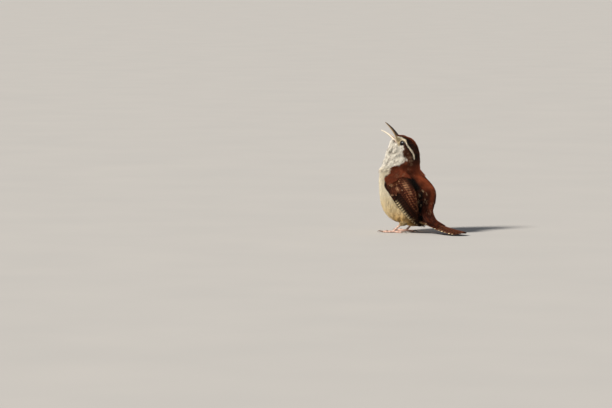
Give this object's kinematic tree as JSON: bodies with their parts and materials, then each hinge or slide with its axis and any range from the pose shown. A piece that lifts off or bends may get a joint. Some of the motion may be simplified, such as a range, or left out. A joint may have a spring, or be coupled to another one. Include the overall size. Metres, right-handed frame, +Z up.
{
  "type": "wren",
  "caption": "Still, life-size model of a singing wren: upright body, head thrown back, open bill, folded drooped wings, and the tail laid back on the floor.",
  "frame": {"origin": "middle of the bottom of the model's box, at the level of the soles", "axes": "+Z up, -Y the way the body faces, +X the bird's left side"},
  "size_m": [0.044, 0.0878, 0.0982],
  "materials": {
    "crown_feathers": "soft matt feathers, dark red-brown",
    "throat_feathers": "soft matt feathers, cream white",
    "body_feathers": "soft matt feathers, chestnut above and buff below",
    "upper_bill_horn": "satin horn, grey-brown",
    "lower_bill_horn": "satin horn, pale",
    "tongue_skin": "moist pink",
    "eye": "glossy, black-brown",
    "wing_feathers": "matt vanes, brown with darker bars",
    "tail_feathers": "matt vanes, brown with black bars",
    "leg_feathers": "soft matt feathers, buff",
    "leg_scales": "satin scales, flesh pink",
    "claw_horn": "satin horn, brown"
  },
  "bodies": {
    "root": {"head": "crown_feathers", "neck": "throat_feathers", "torso": "body_feathers", "bill_upper": "upper_bill_horn", "bill_lower": "lower_bill_horn", "tongue": "tongue_skin", "eye_left": "eye", "eye_right": "eye", "wing_left": "wing_feathers", "wing_right": "wing_feathers", "tail": "tail_feathers", "thigh_left": "leg_feathers", "tarsus_left": "leg_scales", "foot_left": "leg_scales", "claw_left_inner": "claw_horn", "claw_left_middle": "claw_horn", "claw_left_outer": "claw_horn", "claw_left_hind": "claw_horn", "thigh_right": "leg_feathers", "tarsus_right": "leg_scales", "foot_right": "leg_scales", "claw_right_inner": "claw_horn", "claw_right_middle": "claw_horn", "claw_right_outer": "claw_horn", "claw_right_hind": "claw_horn"}
  },
  "joints": []
}
